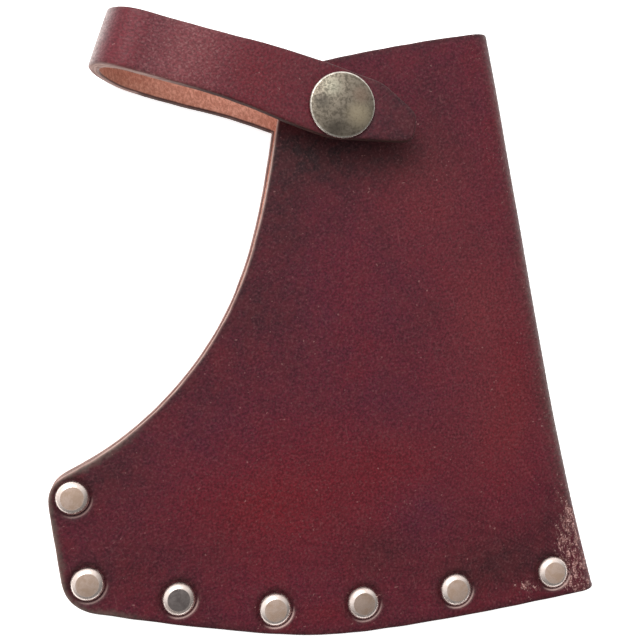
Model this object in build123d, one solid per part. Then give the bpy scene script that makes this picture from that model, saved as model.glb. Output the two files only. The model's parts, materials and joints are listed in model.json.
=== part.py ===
# Leather blade sheath for a felling axe, closed with a strap and a press stud.
#
# Frame, in millimetres: the sheath lies on its back. +Z is out of the front panel, +Y is towards
# the mouth that the axe head goes in through, and +X is towards the folded edge. The origin is
# the centre of the bounding box's underside.
from build123d import *
import os
from math import cos, radians, sin, sqrt

# ---- leather --------------------------------------------------------------------------------
LEATHER = 2.7          # thickness of the hide
HALF_LENGTH = 77.4     # the sheath and its strap reach this far each way along Y
BACK_LIFT = 1.45       # the back panel's height at -HALF_LENGTH, where the rivet heads carry it
GAP_EDGE = 3.0         # space between the panels at -HALF_LENGTH, at the blade's edge
GAP_MOUTH = 6.4        # space between the panels at +HALF_LENGTH

# ---- outline of the panels, seen from the front ----------------------------------------------
FOLD_TOP = (40.3, 72.4)         # two points on the outside of the fold
FOLD_BOTTOM = (69.5, -68.6)
BOTTOM_CURVE = [(82.0, -67.4), (48.0, -72.5), (16.3, -76.4), (-4.0, -77.4), (-23.9, -75.4),
                (-43.2, -72.3)]
TOE_CORNER = (-65.2, -68.0)
TOE_RADIUS = 9.0
HEEL_CORNER = (-70.1, -38.3)
HEEL_RADIUS = 6.0
CONCAVE_CURVE = [(-41.9, -19.0), (-25.3, 5.4), (-17.0, 34.7)]
MOUTH_CORNER = (-12.9, 61.9)
MOUTH_RADIUS = 4.0
MOUTH_ARC = [(15.0, 69.1), (62.0, 76.6)]

# ---- welt: the strip between the panels that keeps the blade's edge off the rivets -----------
WELT_INNER = [(-56.0, -20.0), (-52.5, -53.0), (-15.0, -61.5), (20.0, -60.8), (82.0, -52.0)]
WELT_RADIUS = 9.0

# ---- double-cap rivets ------------------------------------------------------------------------
RIVETS = [(-63.7, -41.4), (-60.2, -62.0), (-38.7, -66.6), (-15.2, -70.3), (7.0, -69.8),
          (31.0, -67.6), (57.1, -64.3)]
CAP_R = 4.05           # outside of the cap's rolled rim
CAP_FLAT_R = 2.75      # flat disc on top of the cap
CAP_HEIGHT = 1.9
SEAT_R = 4.3           # dent that the cap presses into the leather
SEAT_DEPTH = 0.45
POST_R = 1.6
POST_BORE_R = 1.05
PIN_R = 1.0
RUNNING = 0.05         # radial play of a post in its hole

# ---- strap: a tongue of the back panel that bends round and comes back over the front ---------
SNAP = (-0.4, 51.8)    # centre of the press stud
STRAP_ANGLE = -17.8    # degrees, the strap's direction from its bend to its tip
STRAP_HALF = 8.0
LOOP_HEIGHT = 18.9     # outside of the loop
BEND_AT = -49.5        # centre of the bend, measured along the strap from the press stud
ROOT_AT = -6.0         # the tongue's root, inside the back panel
TIP_FROM = 0.0         # the lower edge starts to taper here
TIP = [(18.4, -2.4), (17.3, 3.9), (7.5, 8.0)]
TIP_RADIUS = 0.8
SPLIT = 0.15           # half the gap between the fixed and the moving half of the bend
HINGE_OUT = 0.3        # the hinge line lies this far outside the bend

# ---- press stud -------------------------------------------------------------------------------
SNAP_CAP_R = 8.0
SNAP_CAP_HEIGHT = 2.2
SNAP_POST_R = 2.2
SOCKET_R = 6.2
SOCKET_TIP_R = 5.2
SOCKET_PLATE = 0.45
SOCKET_DEPTH = 3.8
CAVITY_R = 3.95
LIP_R = 3.65
LIP = 0.35
SPRING_RING_R = 3.45
SPRING_WIRE_R = 0.3
SPRING_OPENING = 50.0  # degrees
STUD_R = 6.0
FLANGE = 0.6
NECK_R = 2.6
HEAD_R = 3.3
STUD_HEIGHT = 3.7
STUD_SEAT = 0.2
EYELET_R = 4.8
EYELET_TUBE_R = 1.5
EYELET_BORE_R = 1.1
EYELET_SEAT = 0.12

FAR = 90.0             # beyond every outline


def back_z(y):
    """Height of the back panel's outer face."""
    return BACK_LIFT * (HALF_LENGTH - y) / (2 * HALF_LENGTH)


def gap(y):
    """Space between the two panels."""
    return GAP_EDGE + (GAP_MOUTH - GAP_EDGE) * (y + HALF_LENGTH) / (2 * HALF_LENGTH)


def front_z(y):
    """Height of the front panel's outer face."""
    return back_z(y) + 2 * LEATHER + gap(y)


def fold_x(y):
    """Outside of the fold."""
    slope = (FOLD_BOTTOM[0] - FOLD_TOP[0]) / (FOLD_BOTTOM[1] - FOLD_TOP[1])
    return FOLD_TOP[0] + slope * (y - FOLD_TOP[1])


# The strap's own plane lies in the back panel's outer face, with its origin under the press stud.
# In it, x runs along the strap towards its tip, y across it and z out of the back panel.
BACK_SLOPE = BACK_LIFT / (2 * HALF_LENGTH)
ALONG = Vector(cos(radians(STRAP_ANGLE)), sin(radians(STRAP_ANGLE)),
               -BACK_SLOPE * sin(radians(STRAP_ANGLE)))
STRAP_PLANE = Plane(origin=(SNAP[0], SNAP[1], back_z(SNAP[1])), x_dir=ALONG,
                    z_dir=(0, BACK_SLOPE, 1))
STRAP_TOP = LOOP_HEIGHT
STRAP_UNDER = LOOP_HEIGHT - LEATHER
FRONT_AT_SNAP = 2 * LEATHER + gap(SNAP[1])


def section(y, inset):
    """The folded hide's outline across the sheath, drawn in by inset from its outside."""
    low, high = back_z(y) + inset, front_z(y) - inset
    centre = fold_x(y) - (front_z(y) - back_z(y)) / 2
    middle = (low + high) / 2
    wire = Polyline((centre, y, low), (-FAR, y, low), (-FAR, y, high), (centre, y, high))
    wire += ThreePointArc((centre, y, high), (fold_x(y) - inset, y, middle), (centre, y, low))
    return make_face(wire)


def folded(inset):
    """Everything inside the folded hide's outside, or inside its inside."""
    return loft([section(-FAR, inset), section(FAR, inset)], ruled=True)


def panel_outline():
    """Outline of the front panel, which the back panel shares."""
    bottom = Spline(*BOTTOM_CURVE, TOE_CORNER)
    side = Line(TOE_CORNER, HEEL_CORNER)
    concave = Spline(HEEL_CORNER, *CONCAVE_CURVE, MOUTH_CORNER)
    mouth = ThreePointArc(MOUTH_CORNER, *MOUTH_ARC)
    beyond = Line(MOUTH_ARC[-1], BOTTOM_CURVE[0])
    face = make_face([bottom, side, concave, mouth, beyond])
    for corner, radius in ((TOE_CORNER, TOE_RADIUS), (HEEL_CORNER, HEEL_RADIUS),
                           (MOUTH_CORNER, MOUTH_RADIUS)):
        vertex = face.vertices().sort_by_distance((*corner, 0))[0]
        face = fillet(vertex, radius)
    return face


def prism(face):
    """A plan outline as an upright block through the whole sheath."""
    return extrude(face, amount=FAR / 2, both=True)


def upright(radius, x, y, low, high):
    """An upright cylinder between two heights."""
    return Pos(x, y, (low + high) / 2) * Cylinder(radius, high - low)


def turned(points):
    """A solid turned about Z from a closed outline of (radius, height) points."""
    outline = make_face(Polyline(*[(r, 0, z) for r, z in points], close=True))
    return revolve(outline, Axis.Z)


def rivet_seats(x, y):
    """The two heights that a rivet's caps are pressed down to, back and front."""
    return CAP_HEIGHT, front_z(y) - SEAT_DEPTH


def rivet_cuts():
    """The posts' holes and the dents under the caps."""
    cuts = Part()
    for x, y in RIVETS:
        back, front = rivet_seats(x, y)
        cuts += upright(POST_R + RUNNING, x, y, 0, front)
        cuts += upright(SEAT_R, x, y, -1, back)
        cuts += upright(SEAT_R, x, y, front, front + 3)
    return cuts


def bend():
    """The whole bend of the strap, in the strap's plane."""
    radius = LOOP_HEIGHT / 2
    across = Rot(90, 0, 0)
    ring = across * Cylinder(radius, 2 * STRAP_HALF) - across * Cylinder(radius - LEATHER, FAR)
    half = Pos(-FAR / 2, 0, 0) * Box(FAR, FAR, FAR)
    return Pos(BEND_AT, 0, radius) * (ring & half)


def slab(start, end, low, high):
    """A stretch of strap of the full width, in the strap's plane."""
    middle = Pos((start + end) / 2, 0, (low + high) / 2)
    return middle * Box(end - start, 2 * STRAP_HALF, high - low)


def sheath_body():
    """Front panel, fold, back panel, and the tongue of the back panel up to the hinge line."""
    body = (folded(0) - folded(LEATHER)) & prism(panel_outline())
    lower_half = Pos(0, 0, LOOP_HEIGHT / 2 - SPLIT - FAR / 2) * Box(4 * FAR, FAR, FAR)
    tongue = slab(BEND_AT, ROOT_AT, 0, LEATHER) + (bend() & lower_half)
    body = body + STRAP_PLANE * tongue
    snap_cuts = upright(EYELET_TUBE_R + RUNNING, 0, 0, FRONT_AT_SNAP - LEATHER - 1, FRONT_AT_SNAP + 1)
    snap_cuts += upright(STUD_R + RUNNING, 0, 0, FRONT_AT_SNAP - STUD_SEAT, FRONT_AT_SNAP + 2)
    eyelet_seat = FRONT_AT_SNAP - LEATHER + EYELET_SEAT
    snap_cuts += upright(EYELET_R + RUNNING, 0, 0, eyelet_seat - 1, eyelet_seat)
    return body - rivet_cuts() - STRAP_PLANE * snap_cuts


def blade_welt():
    """The strip of leather between the panels along the blade's edge and toe."""
    start, corner = WELT_INNER[:2]
    inside = make_face([Line(start, corner), Spline(*WELT_INNER[1:]),
                        Polyline(WELT_INNER[-1], (FAR, FAR), (start[0], FAR), start)])
    vertex = inside.vertices().sort_by_distance((*corner, 0))[0]
    inside = fillet(vertex, WELT_RADIUS)
    return (folded(LEATHER) & prism(panel_outline()) - prism(inside)) - rivet_cuts()


def dome_arc(radius, low, high):
    """Half of a shallow round dome's outline, level where it meets the axis."""
    ball = (radius ** 2 + (high - low) ** 2) / (2 * (high - low))
    halfway = high - ball + sqrt(ball ** 2 - radius ** 2 / 4)
    return ThreePointArc((radius, 0, low), (radius / 2, 0, halfway), (0, 0, high))


def rivet_cap_shape():
    """A cap standing on z = 0: a rolled rim round a nearly flat disc."""
    shoulder = CAP_HEIGHT - 0.12
    outline = Polyline((0, 0, CAP_HEIGHT), (0, 0, 0), (CAP_R - 0.3, 0, 0))
    outline += ThreePointArc((CAP_R - 0.3, 0, 0), (CAP_R - 0.07, 0, 0.18), (CAP_R, 0, 0.5))
    outline += ThreePointArc((CAP_R, 0, 0.5), (CAP_R - 0.48, 0, 1.28), (CAP_FLAT_R, 0, shoulder))
    outline += dome_arc(CAP_FLAT_R, shoulder, CAP_HEIGHT)
    return revolve(make_face(outline), Axis.Z)


def rivet_post(x, y):
    """Front cap with its tubular post."""
    back, front = rivet_seats(x, y)
    tube = upright(POST_R, 0, 0, back + 0.2 - front, 0) - upright(POST_BORE_R, 0, 0, -FAR, -0.5)
    return Pos(x, y, front) * (rivet_cap_shape() + tube)


def rivet_cap(x, y):
    """Back cap with the pin that locks in the post's bore."""
    back, front = rivet_seats(x, y)
    pin = upright(PIN_R, x, y, back - 0.5, front - 1.0)
    return Pos(x, y, back) * Rot(180, 0, 0) * rivet_cap_shape() + pin


def strap():
    """The moving length of the strap: half of the bend, the front run and its tapered tip."""
    upper_half = Pos(0, 0, LOOP_HEIGHT / 2 + SPLIT + FAR / 2) * Box(4 * FAR, FAR, FAR)
    tip = make_face(Polyline((TIP_FROM, -STRAP_HALF), *TIP, (TIP_FROM, STRAP_HALF), close=True))
    tip = fillet(tip.vertices().sort_by(Axis.X)[-2:], TIP_RADIUS)
    tip = Pos(0, 0, STRAP_UNDER) * extrude(tip, amount=LEATHER)
    whole = slab(BEND_AT, TIP_FROM, STRAP_UNDER, STRAP_TOP) + tip + (bend() & upper_half)
    return STRAP_PLANE * (whole - upright(SNAP_POST_R + RUNNING, 0, 0, 0, FAR))


def snap_cap():
    """Domed cap on the strap, with the hollow post that clenches the socket from below."""
    rim = SNAP_CAP_R
    dome = Polyline((0, 0, SNAP_CAP_HEIGHT), (0, 0, 0), (rim - 0.4, 0, 0))
    dome += ThreePointArc((rim - 0.4, 0, 0), (rim - 0.08, 0, 0.18), (rim, 0, 0.55))
    dome += ThreePointArc((rim, 0, 0.55), (rim - 0.14, 0, 0.98), (rim - 0.55, 0, 1.2))
    dome += dome_arc(rim - 0.55, 1.2, SNAP_CAP_HEIGHT)
    cap = Pos(0, 0, STRAP_TOP) * revolve(make_face(dome), Axis.Z)
    low = STRAP_UNDER - SOCKET_PLATE - 0.4
    post = upright(SNAP_POST_R, 0, 0, low, STRAP_TOP)
    clench = upright(SNAP_POST_R + 0.7, 0, 0, low, low + 0.35)
    bore = upright(SNAP_POST_R - 0.5, 0, 0, low - 1, STRAP_TOP - 0.3)
    return STRAP_PLANE * (cap + post + clench - bore)


def snap_socket():
    """Cup under the strap that drops over the stud's head."""
    top = STRAP_UNDER
    low = top - SOCKET_DEPTH
    hole = SNAP_POST_R + RUNNING
    outline = [(hole, top), (SOCKET_R, top), (SOCKET_R, top - 0.6), (SOCKET_TIP_R, low + 0.4),
               (SOCKET_TIP_R - 0.3, low), (LIP_R, low), (LIP_R, low + LIP), (CAVITY_R, low + LIP),
               (CAVITY_R, top - SOCKET_PLATE), (hole, top - SOCKET_PLATE)]
    return STRAP_PLANE * turned(outline)


def snap_spring():
    """Split ring of wire above the socket's lip, which closes under the stud's head."""
    height = STRAP_UNDER - SOCKET_DEPTH + LIP + SPRING_WIRE_R + 0.05
    wire = Plane.XZ * Pos(SPRING_RING_R, 0) * Circle(SPRING_WIRE_R)
    ring = revolve(wire, Axis.Z, 360 - SPRING_OPENING)
    return STRAP_PLANE * Pos(0, 0, height) * Rot(0, 0, SPRING_OPENING / 2) * ring


def snap_stud():
    """Stud on the front panel: flange, neck and rounded head."""
    low = FRONT_AT_SNAP - STUD_SEAT
    top = low + STUD_HEIGHT
    hole = EYELET_TUBE_R + RUNNING
    outline = [(hole, low), (STUD_R, low), (STUD_R, low + 0.3), (STUD_R - 0.3, low + FLANGE),
               (NECK_R + 0.4, low + FLANGE), (NECK_R, low + FLANGE + 0.4), (NECK_R, top - 1.45),
               (HEAD_R, top - 1.05), (HEAD_R, top - 0.5), (HEAD_R - 0.35, top - 0.1),
               (HEAD_R - 0.7, top), (2.25, top), (2.25, top - 1.1), (hole, top - 1.1)]
    return STRAP_PLANE * turned(outline)


def snap_post():
    """Eyelet inside the front panel whose tube is rolled over in the stud's head."""
    flange_top = FRONT_AT_SNAP - LEATHER + EYELET_SEAT
    roll = FRONT_AT_SNAP - STUD_SEAT + STUD_HEIGHT - 1.1
    outline = [(EYELET_BORE_R, flange_top - FLANGE), (EYELET_R, flange_top - FLANGE),
               (EYELET_R, flange_top), (EYELET_TUBE_R, flange_top), (EYELET_TUBE_R, roll + 0.03),
               (2.05, roll + 0.03), (2.05, roll + 0.3), (EYELET_BORE_R, roll + 0.5)]
    return STRAP_PLANE * turned(outline)


def write(name, shape):
    """One STEP file per node."""
    solids = shape.solids()
    shape = solids[0] if len(solids) == 1 else Compound(children=list(solids))
    export_step(shape, os.path.join("parts", name + ".step"))
    return shape


os.makedirs("parts", exist_ok=True)
made = [
    write("sheath_body", sheath_body()),
    write("blade_welt", blade_welt()),
    write("strap", strap()),
    write("snap_cap", snap_cap()),
    write("snap_socket", snap_socket()),
    write("snap_spring", snap_spring()),
    write("snap_stud", snap_stud()),
    write("snap_post", snap_post()),
]
for number, place in enumerate(RIVETS, start=1):
    made.append(write(f"rivet_post_{number}", rivet_post(*place)))
    made.append(write(f"rivet_cap_{number}", rivet_cap(*place)))

box = Compound(children=made).bounding_box()
hinge = STRAP_PLANE.from_local_coords((BEND_AT - LOOP_HEIGHT / 2 - HINGE_OUT, 0, LOOP_HEIGHT / 2))
print("bounding box", box.min, box.max)
print("hinge line through", hinge, "along", -STRAP_PLANE.y_dir)
print("strap plane origin", STRAP_PLANE.origin, "x", STRAP_PLANE.x_dir, "z", STRAP_PLANE.z_dir)
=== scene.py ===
import json
import math
import bpy
import numpy as np
from mathutils import Matrix, Vector, noise
from mathutils.geometry import delaunay_2d_cdt


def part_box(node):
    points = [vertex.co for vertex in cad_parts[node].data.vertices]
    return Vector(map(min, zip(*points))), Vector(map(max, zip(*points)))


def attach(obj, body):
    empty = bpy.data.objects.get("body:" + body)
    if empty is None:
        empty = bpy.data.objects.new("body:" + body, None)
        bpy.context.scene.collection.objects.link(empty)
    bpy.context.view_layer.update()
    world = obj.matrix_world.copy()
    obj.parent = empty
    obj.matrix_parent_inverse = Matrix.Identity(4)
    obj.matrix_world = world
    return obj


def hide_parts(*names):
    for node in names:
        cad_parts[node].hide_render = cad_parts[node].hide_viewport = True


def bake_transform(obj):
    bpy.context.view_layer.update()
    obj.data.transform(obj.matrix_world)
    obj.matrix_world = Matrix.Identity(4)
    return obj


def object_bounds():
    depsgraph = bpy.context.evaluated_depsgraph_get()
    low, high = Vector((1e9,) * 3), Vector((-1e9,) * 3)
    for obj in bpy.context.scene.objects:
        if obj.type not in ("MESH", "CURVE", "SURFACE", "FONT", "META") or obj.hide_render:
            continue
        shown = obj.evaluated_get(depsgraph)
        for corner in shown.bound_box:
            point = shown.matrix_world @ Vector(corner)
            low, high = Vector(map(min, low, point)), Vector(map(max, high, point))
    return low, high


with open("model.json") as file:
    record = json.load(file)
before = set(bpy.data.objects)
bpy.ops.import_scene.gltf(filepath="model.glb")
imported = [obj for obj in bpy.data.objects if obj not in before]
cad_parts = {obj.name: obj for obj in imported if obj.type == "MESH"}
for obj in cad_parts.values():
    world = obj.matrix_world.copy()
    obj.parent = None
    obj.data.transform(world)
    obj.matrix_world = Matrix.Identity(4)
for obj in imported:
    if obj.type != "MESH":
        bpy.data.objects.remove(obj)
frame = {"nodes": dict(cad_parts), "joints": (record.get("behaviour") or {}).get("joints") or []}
cad_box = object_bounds()

MM = 0.001              # shapes are worked out in mm and written in metres
HIDE = 2.7              # thickness of the leather
RIVET_COUNT = 7
POST_HOLE = 1.65        # radius of the holes for the rivets
STUD_HOLE = 2.1         # radius of the two holes for the press stud
STEP = 1.25             # spacing of a leather mesh's points
RIM_STEP = 0.9          # and along its outline


# ---- camera: above the front panel, a little to the strap's side, with +Y up ------------------
def make_camera():
    low, high = (np.array(corner) for corner in cad_box)
    aim = (low + high) / 2 + np.array((-3.7, 0.4, -1.7)) * MM    # the object sits off centre
    lean, distance, half_view = math.radians(10.5), 0.256, math.radians(17.3)
    back = Vector((-math.sin(lean), 0, math.cos(lean)))
    right = Vector((math.cos(lean), 0, math.sin(lean)))
    up = Vector((0, 1, 0))
    data = bpy.data.cameras.new("camera")
    data.sensor_width = 36
    data.lens = data.sensor_width / 2 / math.tan(half_view)
    data.clip_start = 0.01
    camera = bpy.data.objects.new("camera", data)
    bpy.context.scene.collection.objects.link(camera)
    turn = Matrix((right, up, back)).transposed().to_4x4()
    camera.matrix_world = Matrix.Translation(Vector(aim) + back * distance) @ turn
    bpy.context.scene.camera = camera


make_camera()


# ---- the CAD solids' own outlines, in mm -------------------------------------------------------
def cad_mesh(node):
    """Vertices in mm and triangles of a CAD node, with the vertices that it shares joined."""
    mesh = frame["nodes"][node].data
    co = np.empty(len(mesh.vertices) * 3)
    mesh.vertices.foreach_get("co", co)
    co = co.reshape(-1, 3) / MM
    mesh.calc_loop_triangles()
    tris = np.empty(len(mesh.loop_triangles) * 3, int)
    mesh.loop_triangles.foreach_get("vertices", tris)
    _, first, joined = np.unique(np.round(co, 3), axis=0, return_index=True, return_inverse=True)
    return co[first], joined.reshape(-1)[tris].reshape(-1, 3)


def flat_outline(node, facing, keep):
    """Outline, anticlockwise from above, of the flat faces that look along facing and pass keep."""
    co, tris = cad_mesh(node)
    a, b, c = (co[tris[:, k]] for k in range(3))
    normal = np.cross(b - a, c - a)
    size = np.linalg.norm(normal, axis=1)
    size[size == 0] = 1
    picked = (normal @ np.array(facing) / size > 0.9999) & keep((a + b + c) / 3)
    edges = {(t[i], t[(i + 1) % 3]) for t in tris[picked].tolist() for i in range(3)}
    follow = {start: end for start, end in edges if (end, start) not in edges}
    loops = []
    while follow:
        at = min(follow)
        loop = []
        while at in follow:
            loop.append(at)
            at = follow.pop(at)
        loops.append(co[loop])
    outline = max(loops, key=lambda loop: np.ptp(loop, axis=0).sum())
    return outline if facing[2] > 0 else outline[::-1]


def from_longest_edge(loop):
    """The loop as a path from one end of its longest edge round to the other."""
    step = np.linalg.norm(np.roll(loop, -1, axis=0) - loop, axis=1)
    return np.roll(loop, -(int(step.argmax()) + 1), axis=0)


def unit(vector):
    return np.asarray(vector, float) / np.linalg.norm(vector)


# the panels' outer faces: each leans a little over half a degree
BACK_FACING, FRONT_FACING = (0, -0.0094, -1), (0, -0.0126, 1)
back_path = from_longest_edge(flat_outline("sheath_body", BACK_FACING, lambda c: c[:, 2] < 2))
front_path = from_longest_edge(flat_outline("sheath_body", FRONT_FACING, lambda c: c[:, 2] > 9))
BACK = np.polyfit(back_path[:, 1], back_path[:, 2], 1)
FRONT = np.polyfit(front_path[:, 1], front_path[:, 2], 1)
back_up = unit((0, -BACK[0], 1))
front_up = unit((0, -FRONT[0], 1))

# the fold: a line up the back panel that the leather leaves it at, and the way across that line
fold_at = back_path[-1, :2]
fold_along = unit(back_path[0, :2] - fold_at)
fold_out = np.array((fold_along[1], -fold_along[0]))

# the strap's plane: along it, across it and out of the back panel, from under the press stud
across = -np.array(frame["joints"][0]["axis"])
along = np.cross(across, back_up)


def centre_of(node):
    low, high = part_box(node)
    return np.array((low + high) / 2) / MM


def rivet_centre(number):
    return centre_of(f"rivet_post_{number}")[:2]


stud = centre_of("snap_stud")
stud = stud - back_up * (stud[2] - np.polyval(BACK, stud[1])) / back_up[2]
strap_path = flat_outline("strap", tuple(back_up), lambda c: c[:, 2] > 17)
LOOP = float(((strap_path - stud) @ back_up).mean())
BEND_R = (LOOP - HIDE) / 2
BEND_AT = float(((back_path - stud) @ along).min())
SEAM_AT = BEND_AT + 4.0
TONGUE = 31.0           # the strap's free length behind its bend
TONGUE_HALF = 9.0       # the hide is no strap farther than this from the strap's middle line
BEND_STRETCH = 1.08     # how much deeper than round the bend is
TIP_STRETCH = 0.06      # how much longer the strap is past the press stud


# ---- the hide, flat: (a, b) is a point of the uncut leather ----------------------------------
# a runs out from the fold's line, b along it. Below zero a is on the back panel and its strap;
# next comes the fold, and past that the front panel.
def fold_radius(b):
    """Middle of the leather's thickness in the fold."""
    y = fold_at[1] + fold_along[1] * b
    return (np.polyval(FRONT, y) - np.polyval(BACK, y) - HIDE) / 2


def flat_back(points):
    """Hide points of places on the back panel."""
    away = points[:, :2] - fold_at
    return np.c_[away @ fold_out, away @ fold_along]


def flat_front(points):
    """Hide points of places on the front panel."""
    away = points[:, :2] - fold_at
    b = away @ fold_along
    return np.c_[math.pi * fold_radius(b) - away @ fold_out, b]


def flat_strap(points):
    """Hide points of places on the strap's front run."""
    away = points - stud
    u, w = away @ along, away @ across
    u = 2 * BEND_AT - math.pi * BEND_R - u
    return flat_back(stud + np.outer(u, along) + np.outer(w, across))


def fold_cut(path_end, towards, turns):
    """Hide points of a straight cut across the fold, which starts at path_end."""
    out = []
    start = path_end[:2] - fold_at
    direction = unit(towards)
    for turn in turns:
        b = start @ fold_along
        reach = fold_radius(b) * fold_along[1] * math.cos(turn)
        b += reach / (direction @ fold_out) * (direction @ fold_along)
        out.append((fold_radius(b) * (turn + math.pi / 2), b))
    return np.array(out)


def smooth(low, high, value):
    t = np.clip((value - low) / (high - low), 0, 1)
    return t * t * (3 - 2 * t)


def past_fold(flat):
    """How far hide points are from the fold, below zero on it."""
    return np.maximum(-flat[:, 0], flat[:, 0] - math.pi * fold_radius(flat[:, 1]))


def wander(points, size, seed):
    """Smooth noise, about -1 to 1, with features of that size in mm."""
    return np.array([noise.noise(Vector((p[0] / size, p[1] / size, seed))) for p in points])


def strap_across(run, w):
    """Where across the loop a point of the strap goes: it narrows and sags round its bend."""
    width = 1 - 0.10 * smooth(-TONGUE, 0, run) + 0.16 * smooth(38, 72, run)
    sag = 2.9 * smooth(-TONGUE, 0, run) - 0.6 * smooth(0, 24, run) - 2.6 * smooth(14, 58, run)
    return w * width - sag


def hide_place(flat, out):
    """Where a hide point goes on the folded sheath: out is above the leather's middle, grain side up."""
    a, b = flat[:, 0], flat[:, 1]
    plan = fold_at + np.outer(a, fold_out) + np.outer(b, fold_along)
    radius = fold_radius(b)
    # back panel
    place = np.c_[plan, np.polyval(BACK, plan[:, 1])]
    u, w = (place - stud) @ along, (place - stud) @ across
    place = place + np.outer(HIDE / 2 - out, back_up)
    # strap: bowed a little sideways, round the bend and back over the front
    run = BEND_AT - u
    on = (run > -TONGUE) & (a < 0) & (np.abs(w) < TONGUE_HALF)
    place += np.outer(np.where(on, strap_across(run, w) - w, 0), across)
    on = run > 0
    run, w = run[on], strap_across(run, w)[on]
    turn = np.clip(run / BEND_R, 0, math.pi)
    beyond = np.maximum(run - math.pi * BEND_R, 0)
    beyond += TIP_STRETCH * np.maximum(beyond + BEND_AT, 0)
    reach = BEND_AT - (BEND_R * BEND_STRETCH + out[on]) * np.sin(turn) + beyond
    rise = LOOP / 2 - (BEND_R + out[on]) * np.cos(turn)
    place[on] = stud + np.outer(reach, along) + np.outer(w, across) + np.outer(rise, back_up)
    # front panel
    on = a > math.pi * radius
    plan = fold_at + np.outer(math.pi * radius - a, fold_out) + np.outer(b, fold_along)
    flat_top = np.c_[plan, np.polyval(FRONT, plan[:, 1])] + np.outer(out - HIDE / 2, front_up)
    place[on] = flat_top[on]
    # fold
    on = (a > 0) & (a <= math.pi * radius)
    turn = a / radius - math.pi / 2
    reach = (radius + out) * fold_along[1] * np.cos(turn)
    plan = fold_at + np.outer(reach, fold_out) + np.outer(b, fold_along)
    middle = (np.polyval(FRONT, plan[:, 1]) + np.polyval(BACK, plan[:, 1])) / 2
    place[on] = np.c_[plan, middle + (radius + out) * np.sin(turn)][on]
    return place


# ---- leather meshes ---------------------------------------------------------------------------
def even_steps(path, spacing, corner=25):
    """A closed path stepped evenly between its corners, with its round stretches smoothed."""
    ahead = np.roll(path, -1, axis=0) - path
    behind = path - np.roll(path, 1, axis=0)
    turn = np.abs(np.degrees(np.arctan2(behind[:, 0] * ahead[:, 1] - behind[:, 1] * ahead[:, 0],
                                        (behind * ahead).sum(1))))
    corners = np.flatnonzero(turn > corner)
    path = np.roll(path, -corners[0], axis=0)
    corners = [*(corners - corners[0]), len(path)]
    path = np.vstack((path, path[:1]))
    steps = []
    for start, end in zip(corners, corners[1:]):
        part = path[start:end + 1]
        length = np.r_[0, np.cumsum(np.linalg.norm(np.diff(part, axis=0), axis=1))]
        count = max(1, round(length[-1] / spacing))
        at = np.linspace(0, length[-1], count + 1)
        part = np.c_[np.interp(at, length, part[:, 0]), np.interp(at, length, part[:, 1])]
        for _ in range(4):
            part[1:-1] = part[1:-1] / 2 + (part[:-2] + part[2:]) / 4
        steps.append(part[:-1])
    return np.vstack(steps)


def outward(loop):
    """Unit normals of a closed anticlockwise loop."""
    ahead = np.roll(loop, -1, axis=0) - loop
    behind = loop - np.roll(loop, 1, axis=0)
    ahead /= np.linalg.norm(ahead, axis=1)[:, None]
    behind /= np.linalg.norm(behind, axis=1)[:, None]
    both = ahead + behind
    normal = np.c_[both[:, 1], -both[:, 0]]
    return normal / np.linalg.norm(normal, axis=1)[:, None]


def inside(points, loop):
    """Which points a closed loop holds."""
    held = np.zeros(len(points), bool)
    for (x0, y0), (x1, y1) in zip(loop, np.roll(loop, -1, axis=0)):
        crosses = (y0 > points[:, 1]) != (y1 > points[:, 1])
        if y0 != y1:
            held ^= crosses & (points[:, 0] < (x1 - x0) * (points[:, 1] - y0) / (y1 - y0) + x0)
    return held


def clear_of(points, others, distance):
    """Which points are at least that far from every one of the others."""
    clear = np.ones(len(points), bool)
    for other in others:
        clear &= ((points - other) ** 2).sum(1) > distance ** 2
    return clear


def ring(centre, radius, step=0.8):
    count = max(12, round(2 * math.pi * radius / step))
    turn = np.arange(count) * 2 * math.pi / count
    return centre + radius * np.c_[np.cos(turn), np.sin(turn)]


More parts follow.
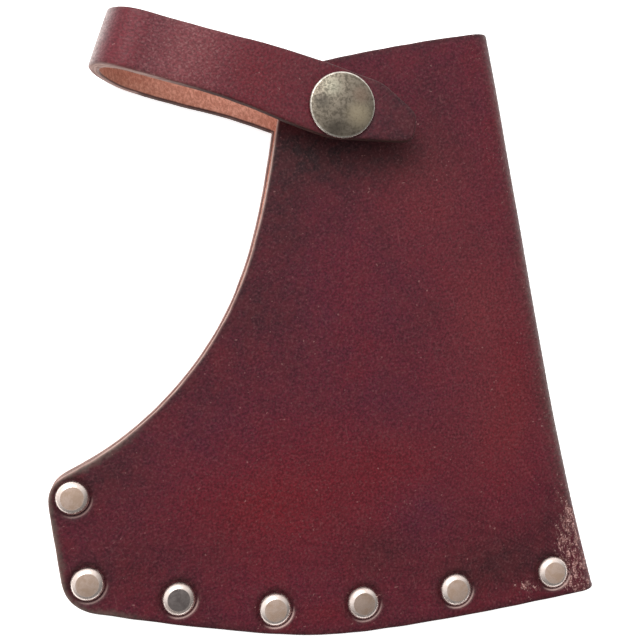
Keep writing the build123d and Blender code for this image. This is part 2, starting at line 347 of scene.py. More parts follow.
def leather_sheet(outline, holes, rings, line=None, edge=None, half=HIDE / 2, step=STEP):
    """Closed mesh of a flat piece of leather, before it is put in place.

    outline is anticlockwise, holes are loops, rings are (centre, radii) round which the mesh is
    finer, line is a row of points that triangles keep to, and edge is how the cut edge is
    rounded: (inset, height) pairs from the grain side to the flesh side. It returns the points as
    (x, y, height), the faces, and for each point its outline normal or zero.
    """
    rim = outline - outward(outline) * edge[0][0]
    low, high = rim.min(0), rim.max(0)
    grid = [(x, y) for row, y in enumerate(np.arange(low[1], high[1], step * math.sqrt(0.75)))
            for x in np.arange(low[0] + step / 2 * (row % 2), high[0], step)]
    grid = np.array(grid)
    grid = grid[inside(grid, rim)]
    grid = grid[clear_of(grid, rim, step * 0.6)]
    for centre, radii in rings:
        grid = grid[clear_of(grid, [centre], max(radii) + step * 0.6)]
    if line is not None:
        grid = grid[clear_of(grid, line, step * 0.6)]
    fixed = [rim, *holes]
    loose = [ring(centre, radius, 0.8 * radius / max(radii))
             for centre, radii in rings for radius in radii]
    loose = [points[inside(points, rim) & clear_of(points, rim, 0.35)] for points in loose]
    edges, count = [], 0
    for loop in fixed:
        edges += [(count + i, count + (i + 1) % len(loop)) for i in range(len(loop))]
        count += len(loop)
    if line is not None:
        ends = [int(((rim - end) ** 2).sum(1).argmin()) for end in (line[0], line[-1])]
        chain = [ends[0], *range(count, count + len(line)), ends[1]]
        edges += list(zip(chain, chain[1:]))
        fixed.append(line)
        count += len(line)
    flat = np.vstack([*fixed, *loose, grid])
    made = delaunay_2d_cdt([Vector(p) for p in flat], edges, [], 4, 1e-5)
    flat = np.array([tuple(p) for p in made[0]])
    source = {old: new for new, olds in enumerate(made[3]) for old in olds}
    tris = np.array([f for f in made[2] if len(f) == 3])
    n = len(flat)
    points = np.vstack((np.c_[flat, np.full(n, half)], np.c_[flat, np.full(n, -half)]))
    normal = np.zeros((2 * n, 2))
    faces = [tuple(t[::-1]) for t in tris.tolist()] + [tuple(t) for t in (tris + n).tolist()]
    started = 0
    for index, loop in enumerate(fixed[:1 + len(holes)]):
        ids = np.array([source[started + i] for i in range(len(loop))])
        started += len(loop)
        profile = edge if index == 0 else [(0, half), (0, -half)]
        facing = outward(outline) if index == 0 else np.zeros((len(loop), 2))
        rows = [ids]
        for inset, height in profile[1:-1]:
            rows.append(np.arange(len(loop)) + len(points))
            points = np.vstack((points, np.c_[outline - facing * inset, np.full(len(loop), height)]))
            normal = np.vstack((normal, facing))
        rows.append(ids + n)
        if index == 0:
            normal[ids], normal[ids + n] = facing, facing
        for upper, lower in zip(rows, rows[1:]):
            quads = np.c_[upper, np.roll(upper, -1), np.roll(lower, -1), lower]
            faces += [tuple(q) for q in quads.tolist()]
    return points, faces, normal


def make_object(name, points, faces, layers, sharp=()):
    """A smooth mesh object from points in mm, with a named number or vector for each point."""
    mesh = bpy.data.meshes.new(name)
    mesh.from_pydata((points * MM).tolist(), [], faces)
    mesh.shade_smooth()
    for title, values in layers.items():
        kind = "FLOAT" if values.ndim == 1 else "FLOAT_VECTOR"
        layer = mesh.attributes.new(title, kind, "POINT")
        field = "value" if values.ndim == 1 else "vector"
        layer.data.foreach_set(field, values.astype(np.float32).ravel())
    sharp = {frozenset(pair) for pair in sharp}
    for edge in mesh.edges if sharp else ():
        edge.use_edge_sharp = frozenset(edge.vertices) in sharp
    mesh.validate()
    made = bpy.data.objects.new(name, mesh)
    bpy.context.scene.collection.objects.link(made)
    return made


def part_of(points, faces, layers, chosen):
    """The chosen faces, with the points that they use, and the old number of each point."""
    faces = [face for face, keep in zip(faces, chosen) if keep]
    used = sorted({v for face in faces for v in face})
    new = {old: i for i, old in enumerate(used)}
    faces = [tuple(new[v] for v in face) for face in faces]
    return points[used], faces, {title: values[used] for title, values in layers.items()}


def closed_off(points, faces):
    """The open edge of a mesh that was cut in two, closed with one flat face."""
    directed = {(f[i], f[(i + 1) % len(f)]) for f in faces for i in range(len(f))}
    follow = {end: start for start, end in directed if (end, start) not in directed}
    at = min(follow)
    loop = []
    while at in follow:
        loop.append(at)
        at = follow.pop(at)
    return faces + [tuple(loop)], list(zip(loop, loop[1:] + loop[:1]))


# the hide's rounded cut edge: inset and height, from the grain side to the flesh side
EDGE = [(0.6, HIDE / 2), (0.24, 1.29), (0.06, 1.08), (0, 0.7), (0, 0), (0, -0.7), (0.08, -1.1),
        (0.26, -1.29), (0.6, -HIDE / 2)]


def hide_outline():
    """The uncut hide's outline, anticlockwise, and the two ends of the seam across its strap."""
    tongue_end = int(((back_path - stud) @ along < BEND_AT + 0.01).argmax())
    ends = (back_path[tongue_end:tongue_end + 2] - stud) @ across
    seam = flat_back(np.array([stud + along * SEAM_AT + across * w for w in ends]))
    # the front run's outline, without its two points on the bend
    bend_ends = np.flatnonzero((strap_path - stud) @ along < BEND_AT + 0.01)
    first = bend_ends[0] if np.ptp(bend_ends) == 1 else bend_ends[1]
    tip = flat_strap(np.roll(strap_path, -int(first), axis=0)[2:])[::-1]
    turns = np.radians(np.linspace(-80, 80, 9))
    bottom = fold_cut(back_path[-1], back_path[-1, :2] - back_path[-2, :2], turns)
    top = fold_cut(back_path[0], back_path[0, :2] - back_path[1, :2], -turns)
    back = flat_back(back_path)
    front = flat_front(front_path[::-1])
    pieces = (back[:tongue_end], seam[:1], tip, seam[1:], back[tongue_end + 2:], bottom, front, top)
    return np.vstack(pieces), seam


def strap_places(flat):
    """How far along and across the strap hide points are, as if it went on flat."""
    plan = fold_at + np.outer(flat[:, 0], fold_out) + np.outer(flat[:, 1], fold_along)
    return (plan - stud[:2]) @ along[:2], (plan - stud[:2]) @ across[:2]


outline, seam = hide_outline()
outline = even_steps(outline, RIM_STEP)
outline += outward(outline) * (wander(outline, 5, 3.0) * 0.1)[:, None]
for seam_end in seam:
    outline[((outline - seam_end) ** 2).sum(1).argmin()] = seam_end
rivets = [rivet_centre(number + 1) for number in range(RIVET_COUNT)]
fixings = [flat_back(np.array([rivet]))[0] for rivet in rivets]
fixings += [flat_front(np.array([rivet]))[0] for rivet in rivets]
stud_flat = flat_front(stud[None])[0]
cap_flat = flat_strap((stud + back_up * LOOP)[None])[0]
holes = [ring(centre, POST_HOLE)[::-1] for centre in fixings]
holes += [ring(centre, STUD_HOLE)[::-1] for centre in (stud_flat, cap_flat)]
seat_rings = (3.0, 3.9, 4.2, 4.4, 4.55, 4.7, 4.85, 5.0, 5.4, 6.0)
rings = [(centre, seat_rings) for centre in fixings]
rings += [(stud_flat, (3.5, 5.8, 6.2, 6.8)), (cap_flat, (4.0, 6.5, 7.6, 8.2))]
seam_line = np.linspace(seam[0], seam[1], 14)[1:-1]
points, faces, normals = leather_sheet(outline, holes, rings, seam_line, EDGE)
flat, height = points[:, :2], points[:, 2]
grain = height > 0


def to_places(flat, spots):
    """Distance in mm of each hide point to the nearest of some places."""
    return np.min([np.linalg.norm(flat - spot, axis=1) for spot in spots], axis=0)


FOLD_BOW = 10.5         # 4/27 of this is how far the fold bows in
FOLD_BOW_REACH = 28.0   # and the panels follow it this far from the fold
SEAT_DEPTH, SEAT_LIP, LIP_AT = 0.45, 0.12, 5.7
STUD_DENT, CAP_DENT = 0.2, 0.12


def fold_bow(flat):
    """How far the fold has been pressed in from a straight line, most a third of the way up."""
    t = np.clip(flat[:, 1] / np.linalg.norm(back_path[0, :2] - fold_at), 0, 1)
    return FOLD_BOW * t * (1 - t) ** 2 * (1 - smooth(0, FOLD_BOW_REACH, past_fold(flat)))


def hide_lift(flat, height):
    """How much the leather's surfaces rise above flat."""
    along_strap, _ = strap_places(flat)
    still = smooth(2, 7, np.abs(along_strap - SEAM_AT))
    sway = (wander(flat, 24, 5.0) * 0.14 + wander(flat, 7, 6.0) * 0.03) * still
    near = to_places(flat, fixings)
    dent = SEAT_LIP * np.exp(-((near - LIP_AT) / 0.7) ** 2) - SEAT_DEPTH * (1 - smooth(4.1, 5.1, near))
    dent -= STUD_DENT * (1 - smooth(6.0, 6.6, to_places(flat, [stud_flat])))
    dent -= CAP_DENT * (1 - smooth(7.6, 8.4, to_places(flat, [cap_flat])))
    return sway * smooth(5, 12, near) + np.where(height > 0, dent, 0) * np.abs(height) / (HIDE / 2)


placed = hide_place(flat, height + hide_lift(flat, height))
placed[:, :2] -= np.outer(fold_bow(flat), fold_out)
along_strap, across_strap = strap_places(flat)
is_front = flat[:, 0] > math.pi * fold_radius(flat[:, 1]) / 2
is_strap = along_strap < BEND_AT + 2


# ---- what the years and the dyer did to the hide, and painted light and shade, point by point ---
DYE = (0.079, 0.0090, 0.0190)
DARK = (0.020, 0.0085, 0.0100)
PLUM = (0.056, 0.0090, 0.0230)
RED = (0.125, 0.0070, 0.0110)
WARM = (0.122, 0.0180, 0.0220)
# front panel: x, y, reach in x and in y, how much, colour; the two DARK patches at y 42, under the
# strap, are a painted shadow of the strap together with darker dye
PATCHES_AND_STRAP_SHADOW = (
    (-8, 42, 16, 9, 0.95, DARK), (12, 42, 16, 7, 0.85, DARK), (-14, 28, 6, 14, 0.55, DARK),
    (-22, 4, 7, 14, 0.45, DARK), (-38, -14, 12, 10, 0.35, DARK), (-56, -34, 14, 10, 0.45, DARK),
    (24, 32, 14, 16, 0.5, WARM), (38, 4, 10, 16, 0.7, WARM), (44, -22, 10, 12, 0.6, WARM),
    (-18, -44, 18, 12, 0.75, RED), (12, -36, 14, 9, 0.5, RED), (46, -14, 5, 14, 0.5, RED),
    (4, 4, 14, 12, 0.3, PLUM), (16, -20, 12, 8, 0.5, PLUM), (-32, -30, 14, 10, 0.4, PLUM),
    (34, -62, 12, 8, 0.6, DARK), (48, -58, 9, 6, 0.4, DARK), (8, -60, 8, 5, 0.3, DARK),
    (-2, -72, 7, 3, 0.5, RED), (-50, -58, 20, 9, 0.35, DARK), (8, -46, 42, 22, 0.38, RED),
    (36, -20, 22, 40, 0.25, WARM), (45, -62, 11, 6, 0.6, DARK), (57, -53, 6, 7, 0.4, DARK),
    (22, -48, 9, 8, 0.6, PLUM), (12, -56, 8, 5, 0.4, DARK),
)
# strap, from its bend at 0 to its tip at 1: place, reach, how much, colour; the first is a painted pale
# highlight on the bend's edge and the third a painted pale highlight on the front run
STRAP_TONES_AND_HIGHLIGHTS = (
    (0.155, 0.035, 0.8, (0.42, 0.34, 0.32)), (0.25, 0.04, 0.6, (0.150, 0.0080, 0.016)),
    (0.40, 0.10, 0.7, (0.205, 0.052, 0.058)), (0.58, 0.12, 0.7, (0.115, 0.0095, 0.016)),
    (0.74, 0.10, 0.6, (0.090, 0.0080, 0.014)), (0.98, 0.12, 0.85, (0.040, 0.0075, 0.012)),
)


def colour_with_painted_light(flat, placed):
    """The grain's colour at each point, with painted shade under the strap and round the rivet caps and
    painted highlights on the strap.
    """
    colour = np.tile(DYE, (len(flat), 1))
    mottle = wander(flat, 16, 11.0) * 0.5
    mottle += wander(flat, 6, 12.0) * 0.3 + wander(flat, 2.6, 13.0) * 0.2
    for shade, amount in ((RED, np.clip(mottle, 0, 1) * 0.9), (DARK, np.clip(-mottle, 0, 1) * 0.7)):
        colour += (np.array(shade) - colour) * amount[:, None]
    # patches of dye, and the painted shadow under the strap
    for x, y, wide, high, much, shade in PATCHES_AND_STRAP_SHADOW:
        away = ((placed[:, 0] - x) / wide) ** 2 + ((placed[:, 1] - y) / high) ** 2
        amount = much * np.exp(-away) * (is_front & ~is_strap)
        colour += (np.array(shade) - colour) * amount[:, None]
    # painted shade round the rivet caps, and darker along the cut edges
    cap_shade_and_edge_dark = 0.6 * np.exp(-(np.maximum(to_places(flat, fixings) - 4.2, 0) / 1.5) ** 2)
    cap_shade_and_edge_dark = np.maximum(cap_shade_and_edge_dark, 0.7 * np.exp(-(to_places(flat, outline) / 1.1) ** 2))
    colour += (np.array(DARK) - colour) * cap_shade_and_edge_dark[:, None]
    # the strap: painted pale highlights at its bend and just past it, redder in the middle and darker
    # towards its tip
    run = (BEND_AT - along_strap) / (BEND_AT - along_strap).max()
    for at, reach, much, shade in STRAP_TONES_AND_HIGHLIGHTS:
        amount = much * np.exp(-((run - at) / reach) ** 2) * is_strap
        colour += (np.array(shade) - colour) * amount[:, None]
    return colour


def scuffed(flat, placed):
    """How worn the grain is: along the lower fold and round its corner."""
    x, y = placed[:, 0], placed[:, 1]
    corner = np.exp(-(((x - 64) / 7) ** 2 + ((y + 56) / 14) ** 2))
    corner += 0.95 * np.exp(-(((x - 50) / 4) ** 2 + ((y + 68) / 3) ** 2))
    corner += 0.9 * np.exp(-(((x - 63) / 5) ** 2 + ((y + 65) / 4) ** 2))
    broken = 0.5 + 0.5 * wander(flat, 9, 21.0)
    fold = 0.55 * np.exp(-(np.maximum(past_fold(flat), 0) / 4) ** 2) * broken
    return np.clip(np.where(is_strap, 0, corner + fold), 0, 1)


edge_amount = np.clip((HIDE / 2 - np.abs(height)) / 0.35, 0, 1)


def raw_edge(normals):
    """Where a cut edge is left pale: on the sheath's open side and along the strap's lower edge."""
    side = np.where(is_front, -1, 1)[:, None]
    facing = np.outer(normals[:, 0], fold_out) * side + np.outer(normals[:, 1], fold_along)
    below = smooth(0.4, 0.8, -facing @ across[:2]) * (1 - smooth(28, 44, BEND_AT - along_strap))
    return np.where(is_strap, below, smooth(0.2, 0.6, -facing[:, 0]))


# how bright the painted highlight is on the seat's lip beside each rivet
LIP_GLINT = (0.35, 0.4, 0.7, 1.0, 0.55, 0.75, 0.9)


def lip_glints(placed):
    """Painted highlight arcs on the seats' raised lips below and to the right of the front caps."""
    glint = np.zeros(len(placed))
    for number, rivet in enumerate(rivets):
        away = placed[:, :2] - rivet
        reach = np.linalg.norm(away, axis=1)
        turned = away @ unit((0.5, -0.87)) / np.maximum(reach, 0.1)
        band = np.exp(-((reach - 4.7) / 0.17) ** 2)
        glint = np.maximum(glint, band * smooth(0.35, 0.95, turned) * LIP_GLINT[number])
    return glint * is_front


def dust_and_fold_sheen(flat, placed):
    """Grey bands: a painted sheen along the outside of the fold, and grey-brown round the rim of the
    toe.
    """
    band = np.exp(-((flat[:, 0] - math.pi / 2 * fold_radius(flat[:, 1])) / 3.4) ** 2)
    rim = np.exp(-(to_places(flat, outline) / 0.9) ** 2) * (1 - smooth(-54, -44, placed[:, 0]))
    return np.maximum(band * (1 - 0.8 * scuffed(flat, placed)), rim * 0.7) * ~is_strap


layers = {
    "hide": np.c_[flat, height],
    "dye_and_light": colour_with_painted_light(flat, placed),
    "scuff": scuffed(flat, placed),
    "flesh": (~grain & (edge_amount == 0)).astype(float),
    "cut": edge_amount,
    "raw": raw_edge(normals),
    # a painted highlight on the rivet seats' lips
    "lip_glint": lip_glints(placed),
    # a painted speckled highlight on the strap's front run
    "fleck_and_highlight": np.exp(-((BEND_AT - along_strap - 36) / 10) ** 2) * is_strap,
    # a painted grey sheen along the fold, and grey-brown round the toe's rim
    "dust_and_sheen": dust_and_fold_sheen(flat, placed),
    # painted shade on the flesh side inside the strap's loop
    "loop_shade": smooth(-26, 2, BEND_AT - along_strap) * (np.abs(across_strap) < TONGUE_HALF),
}


# ---- the two pieces of the hide ----------------------------------------------------------------
across_seam = unit(seam[1] - seam[0])
past_seam = np.array((-across_seam[1], across_seam[0]))
if past_seam @ (cap_flat - seam[0]) < 0:
    past_seam = -past_seam
middles = np.array([flat[list(face)].mean(0) for face in faces])
of_strap = (middles - seam[0]) @ past_seam > 0


def hide_piece(name, chosen):
    part, part_faces, part_layers = part_of(placed, faces, layers, chosen)
    part_faces, sharp = closed_off(part, part_faces)
    return make_object(name, part, part_faces, part_layers, sharp)


sheath_hide = hide_piece("sheath_hide", ~of_strap)
strap_hide = hide_piece("strap_hide", of_strap)
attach(sheath_hide, "sheath")
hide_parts("sheath_body")
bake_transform(strap_hide)
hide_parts("strap")


# ---- welt --------------------------------------------------------------------------------------
def build_welt():
    path = flat_outline("blade_welt", tuple(front_up), lambda c: c[:, 2] > 0)
    path = even_steps(path, RIM_STEP)
    facing = outward(path)
    path = path - facing * (0.12 + wander(path, 4, 31.0) * 0.08)[:, None]
    edge = [(0.35, 1), (0.1, 0.93), (0, 0.75), (0, 0), (0, -0.75), (0.1, -0.93), (0.35, -1)]
    holes = [ring(np.array(rivet), POST_HOLE)[::-1] for rivet in rivets]
    points, faces, _ = leather_sheet(path, holes, [], None, edge, half=1.0, step=1.6)
    low = np.polyval(BACK, points[:, 1]) + HIDE
    high = np.polyval(FRONT, points[:, 1]) - HIDE
    spot = np.c_[points[:, :2], points[:, 2] * 1.5]
    cut = np.clip((1 - np.abs(points[:, 2])) / 0.1, 0, 1)
    points[:, 2] = (low + high) / 2 - points[:, 2] * (high - low) / 2
    return make_object("welt", points, faces, {"hide": spot, "cut": cut})


welt = build_welt()
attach(welt, "sheath")
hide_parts("blade_welt")


# ---- materials ---------------------------------------------------------------------------------
class Look:
    """A material with one Principled shader, and short ways to wire its nodes."""

    def __init__(self, name):
        self.material = bpy.data.materials.new(name)
        self.material.use_nodes = True
        self.tree = self.material.node_tree
        self.tree.nodes.clear()
        out = self.tree.nodes.new("ShaderNodeOutputMaterial")
        self.shader = self.tree.nodes.new("ShaderNodeBsdfPrincipled")
        self.tree.links.new(self.shader.outputs[0], out.inputs[0])

    def put(self, kind, inputs, **settings):
        node = self.tree.nodes.new("ShaderNode" + kind)
        for name, value in settings.items():
            setattr(node, name, value)
        for name, value in inputs.items():
            self.give(node.inputs[name], value)
        return node

    def give(self, socket, value):
        if isinstance(value, bpy.types.NodeSocket):
            self.tree.links.new(value, socket)
        else:
            socket.default_value = value

    def set(self, **inputs):
        for name, value in inputs.items():
            self.give(self.shader.inputs[name.replace("_", " ")], value)

    def layer(self, name, output="Fac"):
        return self.put("Attribute", {}, attribute_name=name).outputs[output]

    def noise(self, spot, size, detail=2.0, rough=0.5, warp=0.0):
        inputs = {"Vector": spot, "Scale": 1 / size, "Detail": detail, "Roughness": rough,
                  "Distortion": warp}
        return self.put("TexNoise", inputs).outputs[0]

    def stretch(self, spot, scale, turn=(0, 0, 0)):
        return self.put("Mapping", {"Vector": spot, "Scale": scale, "Rotation": turn}).outputs[0]

    def ramp(self, value, low, high, to_low=0.0, to_high=1.0):
        inputs = {"Value": value, "From Min": low, "From Max": high,
                  "To Min": to_low, "To Max": to_high}
        return self.put("MapRange", inputs, interpolation_type="SMOOTHSTEP").outputs[0]

    def distance(self, spot, place):
        node = self.put("VectorMath", {0: spot, 1: place}, operation="DISTANCE")
        return node.outputs["Value"]

    def math(self, operation, a, b):
        node = self.put("Math", {}, operation=operation)
        self.give(node.inputs[0], a)
        self.give(node.inputs[1], b)
        return node.outputs[0]

    def mix(self, amount, a, b, kind="MIX"):
        node = self.put("Mix", {}, data_type="RGBA", blend_type=kind)
        self.give(node.inputs[0], amount)
        for socket, value in ((node.inputs[6], a), (node.inputs[7], b)):
            self.give(socket, value if isinstance(value, bpy.types.NodeSocket) else (*value, 1))
        return node.outputs[2]

    def bump(self, height, distance, strength=1.0, under=None):
        inputs = {"Height": height, "Distance": distance * MM, "Strength": strength}
        if under is not None:
            inputs["Normal"] = under
        return self.put("Bump", inputs).outputs[0]


def hide_leather(name, gloss, smoothest, roughest):
    """Dyed grain leather, from the points' colour, wear and painted light and shade."""
    look = Look(name)
    spot = look.layer("hide", "Vector")
    dye_and_light, scuff = look.layer("dye_and_light", "Vector"), look.layer("scuff")
    flesh, cut, dust_and_sheen = look.layer("flesh"), look.layer("cut"), look.layer("dust_and_sheen")
    # grain: fine speckle, blotches, pale flecks that rise on the strap into a painted speckled
    # highlight, ticks and scratches over the colour
    fine = look.noise(spot, 0.62, 3.0, 0.65)
    speckle = look.ramp(fine, 0.33, 0.67, 0.66, 1.34)
    speckle = look.put("CombineXYZ", {0: speckle, 1: speckle, 2: speckle}).outputs[0]
    grain = look.mix(1.0, dye_and_light, speckle, "MULTIPLY")
    blotch = look.ramp(look.noise(spot, 3.2, 4.0, 0.6), 0.42, 0.62)
    grain = look.mix(look.math("MULTIPLY", blotch, 0.25), grain, (0.118, 0.016, 0.021))
    # pale flecks of the grain, strongest on the strap as a painted speckled highlight
    fleck_and_highlight = look.ramp(look.noise(spot, 0.6, 2.0, 0.6), 0.50, 0.70)
    fleck_and_highlight_much = look.ramp(look.layer("fleck_and_highlight"), 0.0, 1.0, 0.16, 0.70)
    grain = look.mix(look.math("MULTIPLY", fleck_and_highlight, fleck_and_highlight_much), grain, (0.25, 0.105, 0.105))
    ticks = look.ramp(look.noise(spot, 0.9, 1.0, 0.4), 0.745, 0.82)
    grain = look.mix(look.math("MULTIPLY", ticks, 0.45), grain, (0.33, 0.16, 0.15))
    scratch = look.noise(look.stretch(spot, (0.9, 0.07, 1), (0, 0, 0.9)), 0.7, 2.0, 0.5, 0.4)
    scratch = look.ramp(scratch, 0.70, 0.76)
    grain = look.mix(look.math("MULTIPLY", scratch, 0.22), grain, (0.24, 0.09, 0.09))
    # wear: pale pink flakes where the dye has gone
    flake = look.noise(look.stretch(spot, (1, 0.5, 1)), 1.0, 6.0, 0.75, 0.6)
    gone = look.ramp(look.math("ADD", flake, look.math("MULTIPLY", scuff, 0.20)), 0.66, 0.78)
    gone = look.math("MULTIPLY", gone, look.ramp(scuff, 0.02, 0.3))
    bare = look.ramp(look.noise(spot, 0.45, 2.0), 0.48, 0.63, 0.08, 1.0)
    grain = look.mix(look.math("MULTIPLY", gone, 0.7), grain, (0.20, 0.080, 0.068))
    grain = look.mix(look.math("MULTIPLY", gone, bare), grain, (0.66, 0.39, 0.36))
    # painted highlight on the rivet seats' lips
    grain = look.mix(look.math("MULTIPLY", look.layer("lip_glint"), 0.9), grain, (0.72, 0.50, 0.45))
    # painted grey sheen along the fold, and grey-brown round the toe's rim
    dust_and_sheen_amount = look.math("MULTIPLY", dust_and_sheen, look.ramp(look.noise(spot, 1.1, 3.0), 0.3, 0.6, 0.35, 0.8))
    grain = look.mix(dust_and_sheen_amount, grain, (0.165, 0.140, 0.112))
    # flesh side: tan, fibrous
    fibre = look.noise(look.stretch(spot, (1, 0.6, 1), (0, 0, 0.5)), 0.6, 5.0, 0.7, 0.5)
    under = look.mix(look.ramp(fibre, 0.35, 0.68), (0.55, 0.235, 0.168), (0.90, 0.51, 0.39))
    # painted shade: the flesh darker inside the strap's loop, towards and past its bend
    under = look.mix(look.math("MULTIPLY", look.layer("loop_shade"), 0.35), under, (0.27, 0.105, 0.070))
    colour = look.mix(flesh, grain, under)
    # cut edge: burnished brown, with the hide's layers along it
    strata = look.noise(look.stretch(spot, (0.25, 0.25, 2.2)), 1.0, 4.0, 0.6)
    edge = look.mix(look.ramp(strata, 0.4, 0.62), (0.036, 0.017, 0.015), (0.085, 0.036, 0.030))
    pale = look.mix(look.ramp(strata, 0.4, 0.62), (0.27, 0.160, 0.138), (0.44, 0.295, 0.258))
    edge = look.mix(look.layer("raw"), edge, pale)
    colour = look.mix(cut, colour, edge)
    pores = look.put("TexVoronoi", {"Vector": spot, "Scale": 1.15}, feature="F1").outputs[0]
    normal = look.bump(look.ramp(pores, 0.1, 0.75), 0.035, 0.8)
    normal = look.bump(fine, 0.045, 0.8, normal)
    normal = look.bump(gone, 0.12, 0.8, normal)
    rough = look.ramp(look.noise(spot, 1.4, 4.0), 0.3, 0.7, smoothest, roughest)
    rough = look.math("MAXIMUM", rough, look.math("MULTIPLY", look.math("MAXIMUM", flesh, gone), 0.85))
    rough = look.math("MAXIMUM", rough, look.math("MULTIPLY", cut, 0.8))
    look.set(Base_Color=colour, Roughness=rough, Normal=normal, Specular_IOR_Level=gloss)
    return look.material


def welt_leather():
    look = Look("welt_leather")
    spot = look.layer("hide", "Vector")
    strata = look.noise(look.stretch(spot, (0.3, 0.3, 2.0)), 1.0, 4.0, 0.6)
    edge = look.mix(look.ramp(strata, 0.35, 0.65), (0.06, 0.028, 0.022), (0.22, 0.10, 0.07))
    fibre = look.noise(spot, 0.7, 5.0, 0.65, 0.5)
    face = look.mix(look.ramp(fibre, 0.35, 0.65), (0.22, 0.08, 0.055), (0.42, 0.19, 0.14))
    colour = look.mix(look.layer("cut"), face, edge)
    normal = look.bump(look.math("ADD", strata, fibre), 0.10, 0.8)
    look.set(Base_Color=colour, Roughness=look.ramp(fibre, 0.3, 0.7, 0.5, 0.75), Normal=normal,
             Specular_IOR_Level=0.3)
    return look.material


def nickel(name, light, dark, tarnish, cloud_size=2.6, disc=None, stains_and_reflections=()):
    """Worn nickel plate with clouds and specks of tarnish, and fine scratches.

    disc is the centre and radius, in mm, and the two colours of a dull round face.
    stains_and_reflections
    on it are stains and painted reflections: places from its centre, how far each reaches, how much it
    shows, and its colour.
    """
    look = Look(name)
    spot = look.stretch(look.put("TexCoord", {}).outputs["Object"], (1 / MM,) * 3)
    cloud = look.ramp(look.noise(spot, cloud_size, 5.0, 0.65, 0.4), 0.40, 0.64)
    specks = look.ramp(look.noise(spot, 0.45, 3.0, 0.6), 0.52, 0.70)
    lines = look.noise(look.stretch(spot, (0.12, 2.4, 1), (0, 0, 0.6)), 0.6, 3.0, 0.6)
    colour = look.mix(look.math("MULTIPLY", cloud, tarnish), light, dark)
    colour = look.mix(look.math("MULTIPLY", specks, tarnish * 0.7), colour, dark)
    rough = look.ramp(cloud, 0, 1, 0.17, 0.33)
    if disc is not None:
        centre, radius, pale, dull = disc
        flat_spot = look.stretch(spot, (1, 1, 0))
        away = look.distance(flat_spot, (*centre, 0))
        on_disc = look.ramp(away, radius + 0.1, radius - 0.15)
        face = look.mix(cloud, pale, dull)
        # stains and painted reflections on the round face
        for x, y, patch_reach, much, shade in stains_and_reflections:
            patch = look.distance(flat_spot, (centre[0] + x, centre[1] + y, 0))
            patch = look.ramp(patch, patch_reach, patch_reach * 0.15)
            face = look.mix(look.math("MULTIPLY", patch, much), face, shade)
        face = look.mix(look.math("MULTIPLY", specks, 0.4), face, dull)
        colour = look.mix(on_disc, colour, face)
        rough = look.math("ADD", rough, look.math("MULTIPLY", on_disc, 0.16))
    rough = look.math("ADD", rough, look.math("MULTIPLY", lines, 0.10))
    dents = look.math("ADD", look.math("MULTIPLY", lines, 0.5), look.noise(spot, 1.5))
    look.set(Base_Color=colour, Metallic=1.0, Roughness=rough, Normal=look.bump(dents, 0.02, 0.6))
    return look.material


def finish_with(material, *pieces):
    for piece in pieces:
        piece.data.materials.clear()
        piece.data.materials.append(material)


# rivets: the bevels' two colours, the flat discs' two, and how pale each rivet's disc is
RIVET_DISC_R = 2.75
RIVET_LIGHT, RIVET_DARK = (0.86, 0.74, 0.68), (0.58, 0.46, 0.40)
DISC_PALE, DISC_DULL = (0.70, 0.53, 0.44), (0.54, 0.39, 0.30)
GREY_RIVET = 3
GREY_PALE, GREY_DULL = (0.24, 0.205, 0.195), (0.15, 0.125, 0.12)
DISC_SHADE = (0.86, 0.83, 0.92, 0.94, 0.72, 0.97, 1.10)

# press stud: bright metal, and on the cap a darker face with stains and painted reflections
STUD_LIGHT, STUD_DARK = (0.66, 0.61, 0.52), (0.30, 0.27, 0.22)
CAP_LIGHT, CAP_DARK = (0.66, 0.61, 0.54), (0.32, 0.29, 0.24)
CAP_FACE_R = 7.62
CAP_PALE, CAP_DULL = (0.215, 0.182, 0.142), (0.105, 0.088, 0.068)
# the dark ones at the left and at the bottom and the yellow one at the lower right are painted
# reflections
CAP_STAINS_AND_REFLECTIONS = (
    (-5.0, 0.7, 3.2, 0.75, (0.055, 0.048, 0.040)), (4.0, -2.4, 4.6, 0.75, (0.42, 0.35, 0.24)),
    (4.4, 2.4, 3.2, 0.6, (0.25, 0.175, 0.130)), (-2.0, -5.8, 3.2, 0.65, (0.065, 0.055, 0.045)),
    (-2.6, 4.2, 3.6, 0.5, (0.24, 0.235, 0.180)),
)
nodes = frame["nodes"]


def finish_leather():
    finish_with(hide_leather("oxblood_leather", 0.17, 0.42, 0.62), sheath_hide)
    finish_with(hide_leather("oxblood_strap", 0.21, 0.34, 0.50), strap_hide)
    finish_with(welt_leather(), welt)


def finish_rivets():
    for number, rivet in enumerate(rivets, 1):
        pale, dull = (GREY_PALE, GREY_DULL) if number == GREY_RIVET else (DISC_PALE, DISC_DULL)
        pale, dull = (tuple(DISC_SHADE[number - 1] * np.array(shade)) for shade in (pale, dull))
        disc = (rivet.tolist(), RIVET_DISC_R, pale, dull)
        material = nickel(f"rivet_nickel_{number}", RIVET_LIGHT, RIVET_DARK, 0.5, 2.2, disc)
        finish_with(material, nodes[f"rivet_cap_{number}"], nodes[f"rivet_post_{number}"])


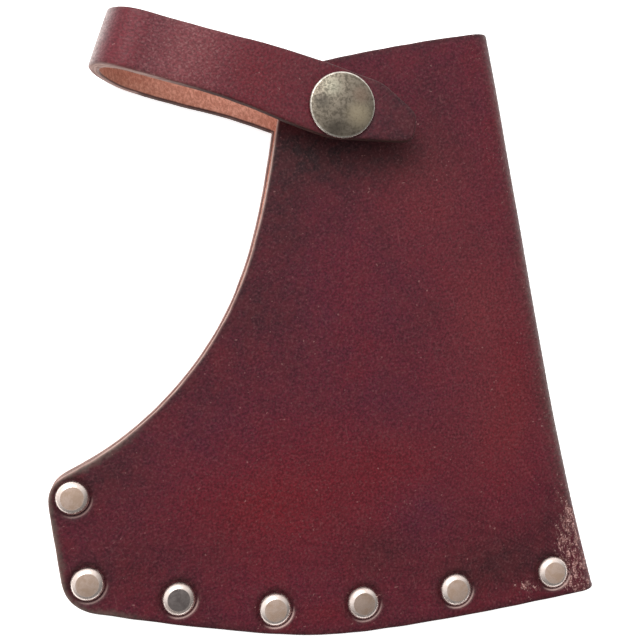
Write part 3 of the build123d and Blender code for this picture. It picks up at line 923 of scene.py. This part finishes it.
def finish_stud():
    disc = (centre_of("snap_cap")[:2].tolist(), CAP_FACE_R, CAP_PALE, CAP_DULL)
    finish_with(nickel("cap_nickel", CAP_LIGHT, CAP_DARK, 0.6, 0.9, disc, CAP_STAINS_AND_REFLECTIONS), nodes["snap_cap"])
    stud_nickel = nickel("stud_nickel", STUD_LIGHT, STUD_DARK, 0.6)
    finish_with(stud_nickel, *(nodes[name] for name in ("snap_socket", "snap_stud", "snap_post")))
    finish_with(nickel("spring_steel", (0.6, 0.6, 0.6), (0.3, 0.3, 0.3), 0.3), nodes["snap_spring"])


finish_leather()
finish_rivets()
finish_stud()


# ---- floor, light and world --------------------------------------------------------------------
def make_floor():
    mesh = bpy.data.meshes.new("floor")
    reach = 4.0
    corners = [(-reach, -reach, 0), (reach, -reach, 0), (reach, reach, 0), (-reach, reach, 0)]
    mesh.from_pydata(corners, [], [(0, 1, 2, 3)])
    floor = bpy.data.objects.new("floor", mesh)
    bpy.context.scene.collection.objects.link(floor)
    look = Look("pale_floor")
    look.set(Base_Color=(0.93, 0.93, 0.93, 1), Roughness=0.9, Specular_IOR_Level=0.1,
             Emission_Color=(1, 1, 1, 1), Emission_Strength=0.7)
    mesh.materials.append(look.material)


def area_light(name, place, size, power):
    data = bpy.data.lights.new(name, "AREA")
    data.shape = "RECTANGLE"
    data.size, data.size_y = size
    data.energy = power
    light = bpy.data.objects.new(name, data)
    light.location = place
    light.rotation_mode = "QUATERNION"
    light.rotation_quaternion = (-Vector(place)).to_track_quat("-Z", "Y")
    bpy.context.scene.collection.objects.link(light)


def make_world():
    """Soft room light: brightest low down behind the mouth, dimmest low down on the other side."""
    world = bpy.data.worlds.new("studio")
    world.use_nodes = True
    tree = world.node_tree
    where = tree.nodes.new("ShaderNodeTexCoord")
    facing = tree.nodes.new("ShaderNodeVectorMath")
    facing.operation = "DOT_PRODUCT"
    facing.inputs[1].default_value = unit((-0.45, 0.86, 0.25))
    tree.links.new(where.outputs["Generated"], facing.inputs[0])
    level = tree.nodes.new("ShaderNodeMapRange")
    level.interpolation_type = "SMOOTHERSTEP"
    limits = {"From Min": -0.7, "From Max": 0.95, "To Min": 0.26, "To Max": 1.25}
    for socket, value in limits.items():
        level.inputs[socket].default_value = value
    tree.links.new(facing.outputs["Value"], level.inputs["Value"])
    tree.links.new(level.outputs[0], tree.nodes["Background"].inputs["Color"])
    bpy.context.scene.world = world


make_floor()
area_light("window", (-0.30, 0.62, 0.75), (0.7, 0.6), 6.0)
make_world()
bpy.context.scene.view_settings.view_transform = "Standard"
